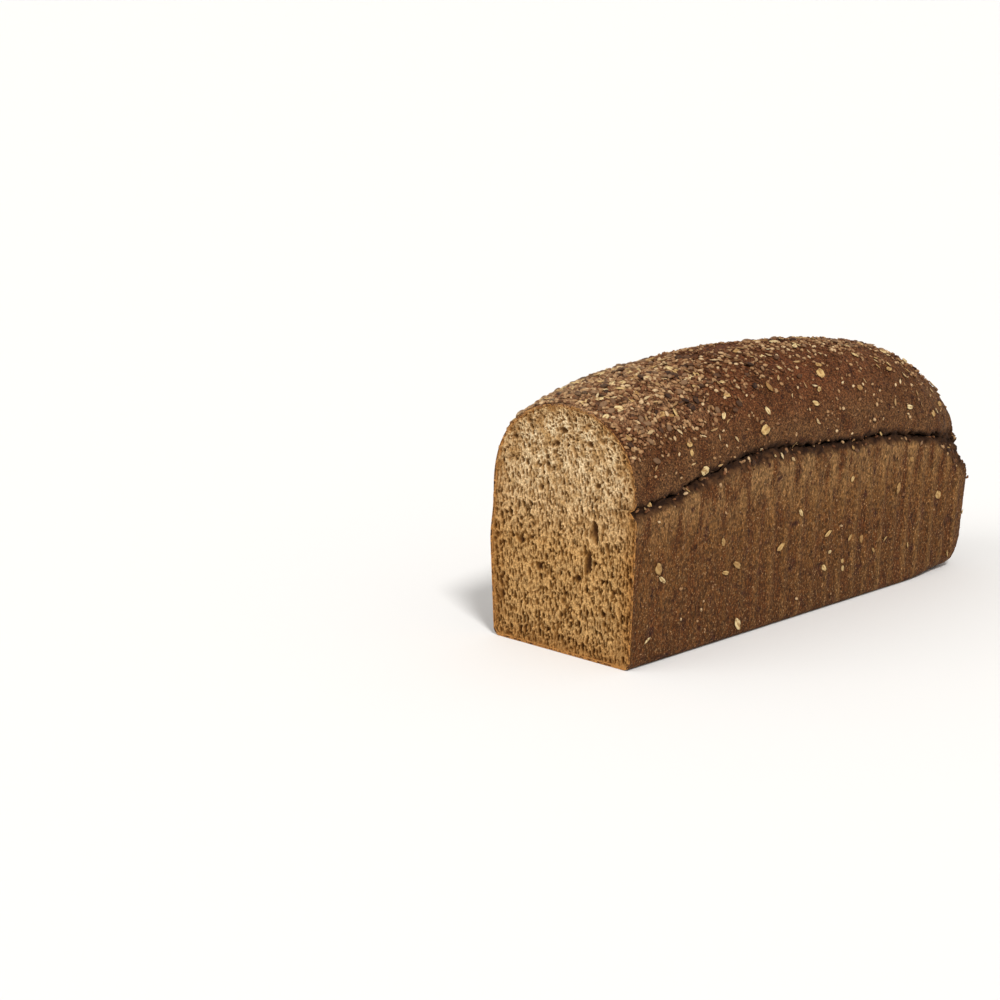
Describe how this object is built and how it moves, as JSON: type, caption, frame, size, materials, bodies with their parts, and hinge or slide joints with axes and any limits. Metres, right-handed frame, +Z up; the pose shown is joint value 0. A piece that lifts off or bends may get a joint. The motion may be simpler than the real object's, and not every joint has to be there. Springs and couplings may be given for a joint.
{
  "type": "cut seeded tin loaf",
  "caption": "Dark wholegrain tin loaf, cut square at one end, with ribbed lower walls, a torn crease, a rounded seeded top and an open crumb at the cut.",
  "frame": {"origin": "centre of the bounding box at the level of the flat bottom the loaf rests on", "axes": "+Y along the loaf from the cut face to the far end, so the cut face looks to -Y; +X to the side that the picture shows; +Z up"},
  "size_m": [0.1023, 0.3, 0.1412],
  "materials": {
    "crust": "baked dark wholegrain crust, dull, with oat flakes and seeds; stands for bread crust",
    "crumb": "open, matt wholegrain crumb at the cut; stands for bread crumb",
    "seeds": "oat flakes, sesame and other seeds, satin; stands for seeds"
  },
  "bodies": {
    "root": {"loaf": "crust"}
  },
  "joints": []
}
